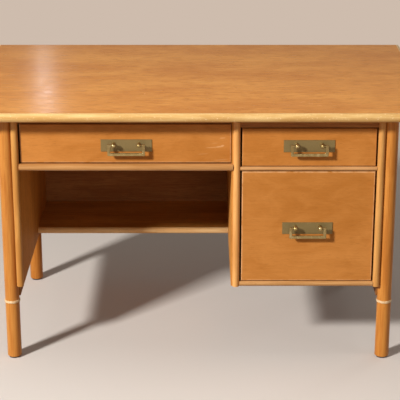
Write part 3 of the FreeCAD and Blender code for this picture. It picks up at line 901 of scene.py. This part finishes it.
@dataclass
class BailPull:
    """One drawer's pull: square-bar bail, turned posts, nuts and the brass plate behind them."""

    word: str
    pivot: Vector
    nodes: dict[str, bpy.types.Object]
    finishes: Finishes
    bar_extra: float = 1.3 * MM
    corner: float = 2.4 * MM
    ease: float = 0.9 * MM
    ease_facets: int = 3
    square_angle: float = 0.7
    pin: float = 2.0 * MM
    pin_ease: float = 0.4 * MM
    pin_stop: float = 2.0 * MM
    pin_steps: int = 20
    post_half_spacing: float = 35 * MM
    post_steps: int = 40
    ball: float = 6.5 * MM
    ball_facets: int = 14
    neck: float = 3.75 * MM
    waist: float = 3.0 * MM
    foot_share: float = 1.25
    stem_stops: tuple[float, float, float, float] = (0.45, 0.66, 0.8, 0.9)
    shank: float = 2.5 * MM
    shank_ease: float = 0.6 * MM
    nut: float = 4.8 * MM
    nut_height: float = 2.8 * MM
    nut_ease: float = 0.35 * MM
    nut_facets: int = 2
    washer: float = 6.5 * MM
    washer_height: float = 0.8 * MM
    washer_rim: float = 0.56 * MM
    washer_ease: float = 0.25 * MM
    washer_play: float = 0.15 * MM
    washer_steps: int = 32

    def node(self, part: str) -> str:
        """Name one CAD node of this drawer."""
        return "%s_drawer_%s" % (self.word, part)

    def build(self) -> None:
        """Make the new pieces and dress the plate."""
        self.build_bail()
        self.build_posts()
        plate = self.node("backplate")
        dress(self.nodes[plate], self.finishes.plate)
        LOG.info("dressed %s", plate)

    def build_bail(self) -> None:
        """Shape the square bar of the bail and pin its arms into the posts."""
        low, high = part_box(self.node("bail"))
        bar = high.y - low.y
        wide = bar + self.bar_extra
        outline = ((low.x, high.z), (low.x, low.z), (high.x, low.z), (high.x, high.z),
                   (high.x - wide, high.z), (high.x - wide, low.z + wide),
                   (low.x + wide, low.z + wide), (low.x + wide, high.z))
        mesh = bmesh.new()
        face = mesh.faces.new([mesh.verts.new((x, low.y, z)) for x, z in outline])
        grown = bmesh.ops.extrude_face_region(mesh, geom=[face])["geom"]
        rear = [part for part in grown if isinstance(part, bmesh.types.BMVert)]
        bmesh.ops.translate(mesh, vec=REAR * bar, verts=rear)
        bmesh.ops.recalc_face_normals(mesh, faces=mesh.faces)
        turns = [edge for edge in mesh.edges if max(vert.co.z for vert in edge.verts) < low.z + bar / 2
                 and abs(edge.verts[0].co.y - edge.verts[1].co.y) > bar / 2]
        ease_edges(mesh, turns, self.corner, self.ease_facets)
        square = [edge for edge in mesh.edges if edge.calc_face_angle(0.0) > self.square_angle]
        ease_edges(mesh, square, self.ease, self.ease_facets)
        arm = (high.x - low.x) / 2 - bar
        for side in (-1, 1):
            lathe(mesh, self.pin_profile(arm, bar), self.pivot + RIGHT * (side * arm), RIGHT * -side, REAR,
                  self.pin_steps)
        bail = piece(self.word + "_bail_bar", mesh, self.finishes.pull, self.word + "_bail")
        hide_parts(self.node("bail"))

    def pin_profile(self, arm: float, bar: float) -> list[Pair]:
        """Give a pin's outline from its tip in the post to its root in the arm.

        Args:
            arm: Distance from the bail's middle to the inner face of an arm.
            bar: Thickness of the bail's bar.

        Returns:
            Radius and distance along the pin of each corner.
        """
        reach = arm - self.post_half_spacing - self.pin_stop
        root = -bar / 4
        return [(0.0, reach), (self.pin - self.pin_ease, reach), (self.pin, reach - self.pin_ease),
                (self.pin, root), (0.0, root)]

    def build_posts(self) -> None:
        """Turn both posts and set a washer and nut on each shank behind the front."""
        plate_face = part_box(self.node("backplate"))[0].y
        front_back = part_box(self.node("front"))[1].y
        shank_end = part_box(self.node("pull_posts"))[1].y
        profile = self.post_profile(plate_face - self.pivot.y, shank_end - self.pivot.y)
        mesh = bmesh.new()
        for side in (-1, 1):
            centre = self.pivot + RIGHT * (side * self.post_half_spacing)
            lathe(mesh, profile, centre, REAR, UP, self.post_steps)
            seat = Vector((centre.x, front_back, centre.z))
            lathe(mesh, self.washer_profile(), seat, REAR, UP, self.washer_steps)
            self.add_nut(mesh, seat + REAR * self.washer_height)
        posts = piece(self.word + "_pull_turnings", mesh, self.finishes.post, self.word + "_drawer")
        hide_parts(self.node("pull_posts"))

    def post_profile(self, reach: float, tail: float) -> list[Pair]:
        """Give a post's outline from the tip of its ball to the end of its shank.

        Args:
            reach: Distance from the ball's middle to the plate.
            tail: Distance from the ball's middle to the shank's end.

        Returns:
            Radius and distance along the post of each corner.
        """
        turns = [math.pi * (1 - k / self.ball_facets) for k in range(self.ball_facets - 2)]
        ball = [(self.ball * math.sin(turn), self.ball * math.cos(turn)) for turn in turns]
        foot = self.neck * self.foot_share
        waist_start, waist_end, neck_end, foot_start = (reach * stop for stop in self.stem_stops)
        stem = [(self.waist, waist_start), (self.waist, waist_end), (self.neck, neck_end),
                (foot, foot_start), (foot, reach)]
        shank = [(self.shank, reach), (self.shank, tail - self.shank_ease),
                 (self.shank - self.shank_ease, tail), (0.0, tail)]
        return ball + stem + shank

    def washer_profile(self) -> list[Pair]:
        """Give the outline of the washer behind the front.

        Returns:
            Radius and distance along the post of each corner, back to the first.
        """
        hole = self.shank + self.washer_play
        top = self.washer_height
        return [(hole, 0.0), (self.washer, 0.0), (self.washer, self.washer_rim),
                (self.washer - self.washer_ease, top), (hole, top), (hole, 0.0)]

    def add_nut(self, mesh: bmesh.types.BMesh, seat: Vector) -> None:
        """Add a six-sided nut with eased edges.

        Args:
            mesh: Where the nut is added.
            seat: The middle of the face it sits on.
        """
        middle = seat + REAR * (self.nut_height / 2)
        turn = Matrix.Translation(middle) @ Matrix.Rotation(math.pi / 2, 4, "X")
        made = bmesh.ops.create_cone(mesh, cap_ends=True, segments=6, radius1=self.nut, radius2=self.nut,
                                     depth=self.nut_height, matrix=turn)
        corners = set(made["verts"])
        edges = [edge for edge in mesh.edges if corners.issuperset(edge.verts)]
        ease_edges(mesh, edges, self.nut_ease, self.nut_facets)


@dataclass
class LegBindings:
    """The pale cane bound round each leg."""

    finishes: Finishes
    turns: int = 3
    strand_sides: int = 12
    round_steps: int = 56
    outer_bulge: float = 0.95
    middle_bulge: float = 1.15
    stand_off: float = 0.6

    def build(self) -> None:
        """Wind the strands of every leg into one piece."""
        low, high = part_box("leg_binding_rings")
        strand = (high.z - low.z) / (2 * self.turns)
        mesh = bmesh.new()
        for leg in LEGS:
            leg_low, leg_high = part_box(leg)
            middle = (leg_low + leg_high) / 2
            radius = (leg_high.y - leg_low.y) / 2 + strand * self.stand_off
            for turn in range(self.turns):
                level = low.z + strand * (2 * turn + 1)
                bulge = self.middle_bulge if turn == self.turns // 2 else self.outer_bulge
                self.wind(mesh, Vector((middle.x, middle.y, level)), radius, strand * bulge)
        rings = piece("leg_cane_bindings", mesh, self.finishes.strand, "case")
        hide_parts("leg_binding_rings")

    def wind(self, mesh: bmesh.types.BMesh, centre: Vector, radius: float, strand: float) -> None:
        """Wind one turn of strand round a leg.

        Args:
            mesh: Where the turn is added.
            centre: The turn's middle, on the leg's axis.
            radius: Distance from the axis to the strand's middle.
            strand: Half the strand's thickness.
        """
        spot = Matrix.Translation(centre + RIGHT * radius) @ Matrix.Rotation(math.pi / 2, 4, "X")
        made = bmesh.ops.create_circle(mesh, cap_ends=False, radius=strand, segments=self.strand_sides,
                                       matrix=spot)
        corners = made["verts"]
        edges = [edge for edge in mesh.edges if edge.verts[0] in corners]
        bmesh.ops.spin(mesh, geom=list(corners) + edges, cent=centre, axis=UP, angle=2 * math.pi,
                       steps=self.round_steps, use_merge=True)


@dataclass
class Case:
    """The standing parts of the desk, which keep their solids and get their finishes."""

    nodes: dict[str, bpy.types.Object]
    finishes: Finishes

    def build(self) -> None:
        """Dress every node of the case."""
        looks = self.finishes
        table = {
            looks.top: ("desktop_panel",),
            looks.edge[Axis.X]: ("top_edge_pole_front", "top_edge_pole_rear"),
            looks.edge[Axis.Y]: ("top_edge_pole_left", "top_edge_pole_right"),
            looks.lit_lip: ("shelf_edge_pole",),
            looks.upright: ("left_side_panel", "right_side_panel", "divider_panel"),
            # The kneehole back, the pedestal back and the top rails get the darker level veneer, painted
            # shade.
            looks.level: ("kneehole_back_panel", "pedestal_back_panel", "kneehole_top_rail",
                          "pedestal_top_rail"),
            looks.shelf: ("kneehole_shelf",),
            looks.frame[Axis.X]: ("pencil_rail", "middle_rail", "pedestal_floor"),
            looks.frame[Axis.Y]: ("left_bearer", "right_bearer", "top_fixing_blocks",
                                  "pencil_drawer_runners", "upper_drawer_runners", "file_drawer_runners"),
            looks.glide: ("leg_glides",),
        }
        finish_of = {name: material for material, names in table.items() for name in names}
        finish_of.update(looks.poles)
        for name, material in finish_of.items():
            dress(self.nodes[name], material)
            LOG.info("dressed %s", name)


@dataclass
class DrawerBox:
    """One drawer's front and box, which keep their solids and get their finishes."""

    word: str
    nodes: dict[str, bpy.types.Object]
    finishes: Finishes

    def build(self) -> None:
        """Dress the front, sides, back and bottom."""
        along, across = self.finishes.box[Axis.Y], self.finishes.box[Axis.X]
        finish_of = {"front": self.finishes.fronts[self.word], "left_side": along, "right_side": along,
                     "back": across, "bottom": across}
        for part, material in finish_of.items():
            name = "%s_drawer_%s" % (self.word, part)
            dress(self.nodes[name], material)
            LOG.info("dressed %s", name)


@dataclass(frozen=True)
class Lamp:
    """A soft area light."""

    name: str
    place: Triple
    aim: Triple
    size: Pair
    power: float

    def build(self) -> None:
        """Hang the light and point it."""
        light = bpy.data.lights.new(self.name, "AREA")
        light.shape = "RECTANGLE"
        light.size, light.size_y = self.size
        light.energy = self.power
        lamp = bpy.data.objects.new(self.name, light)
        lamp.location = self.place
        way = Vector(self.aim) - Vector(self.place)
        lamp.rotation_euler = way.to_track_quat("-Z", "Y").to_euler()
        bpy.context.scene.collection.objects.link(lamp)


@dataclass
class Studio:
    """Floor, lights, room and camera."""

    floor_colour: Colour = shade(216, 206, 196)
    floor_bounce: Colour = shade(162, 138, 118)
    floor_reach: float = 3.2
    floor_sides: int = 96
    floor_roughness: float = 0.8
    room_colour: Colour = shade(206, 188, 173)
    room_light: Colour = shade(200, 196, 190)
    room_strength: float = 0.24
    eye: Triple = (0.0053, -4.1931, 1.8128)
    pitch: float = 70.935
    lens: float = 130.0
    sensor: float = 36.0
    lamps: tuple[Lamp, ...] = (
        Lamp("key", (-3.96, -4.16, 3.65), (0, -0.2, 0.5), (0.7, 0.7), 545.0),
        Lamp("front", (0.3, -5.6, 2.0), (0, -0.2, 0.4), (2.6, 1.0), 22.0),
        Lamp("side", (4.5, -2.8, 1.9), (0, -0.2, 0.5), (1.5, 1.5), 14.0),
        Lamp("overhead", (0.0, -0.42, 1.6), (0.0, -0.4, 0.75), (2.2, 0.4), 5.0),
        Lamp("rear", (4.2, 3.6, 1.4), (0, 0.2, 0.5), (1.6, 1.2), 45.0),
        Lamp("streak", (-0.735, 2.5, 1.6), (-0.45, 0.0, 0.755), (0.06, 0.5), 0.85),
    )

    def build(self) -> None:
        """Set the stage."""
        self.build_floor()
        self.build_room()
        self.build_camera()
        for lamp in self.lamps:
            lamp.build()

    def build_floor(self) -> None:
        """Lay a plain pale floor that throws little light back."""
        mesh = bmesh.new()
        bmesh.ops.create_circle(mesh, cap_ends=True, radius=self.floor_reach, segments=self.floor_sides)
        data = bpy.data.meshes.new("floor")
        mesh.to_mesh(data)
        mesh.free()
        floor = bpy.data.objects.new("floor", data)
        bpy.context.scene.collection.objects.link(floor)
        graph = Graph.of_material("floor_plain")
        dress(floor, graph.finish(Base_Color=self.floor_colour, Roughness=self.floor_roughness))
        dull = graph.add("ShaderNodeBsdfDiffuse", {}, {"Color": self.floor_bounce})
        graph.output(graph.seen(), dull, graph.surface)

    def build_room(self) -> None:
        """Light the room dimly and evenly, with a pale background."""
        world = bpy.data.worlds.new("room")
        graph = Graph(world)
        dim = graph.add("ShaderNodeBackground", {},
                        {"Color": self.room_light, "Strength": self.room_strength})
        pale = graph.add("ShaderNodeBackground", {}, {"Color": self.room_colour, "Strength": 1.0})
        graph.output(graph.seen(), dim, pale)
        bpy.context.scene.world = world

    def build_camera(self) -> None:
        """Stand the camera where the photograph was taken from."""
        lens = bpy.data.cameras.new("camera")
        lens.lens = self.lens
        lens.sensor_width = self.sensor
        camera = bpy.data.objects.new("camera", lens)
        camera.location = self.eye
        camera.rotation_euler = (math.radians(self.pitch), 0, 0)
        bpy.context.scene.collection.objects.link(camera)
        bpy.context.scene.camera = camera


def main() -> None:
    """Build the looks of the desk in order."""
    logging.basicConfig(level=logging.INFO)
    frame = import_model()
    bpy.context.scene.view_settings.view_transform = "Standard"
    nodes = frame["nodes"]
    finishes = Finishes()
    Case(nodes, finishes).build()
    pivots = {joint["name"]: Vector(joint["pos_m"])
              for joint in frame["joints"] if joint["type"] == "hinge"}
    for word in WORDS:
        DrawerBox(word, nodes, finishes).build()
        BailPull(word, pivots[word + "_bail_hinge"], nodes, finishes).build()
    LegBindings(finishes).build()
    Studio().build()


if __name__ == "__main__":
    main()
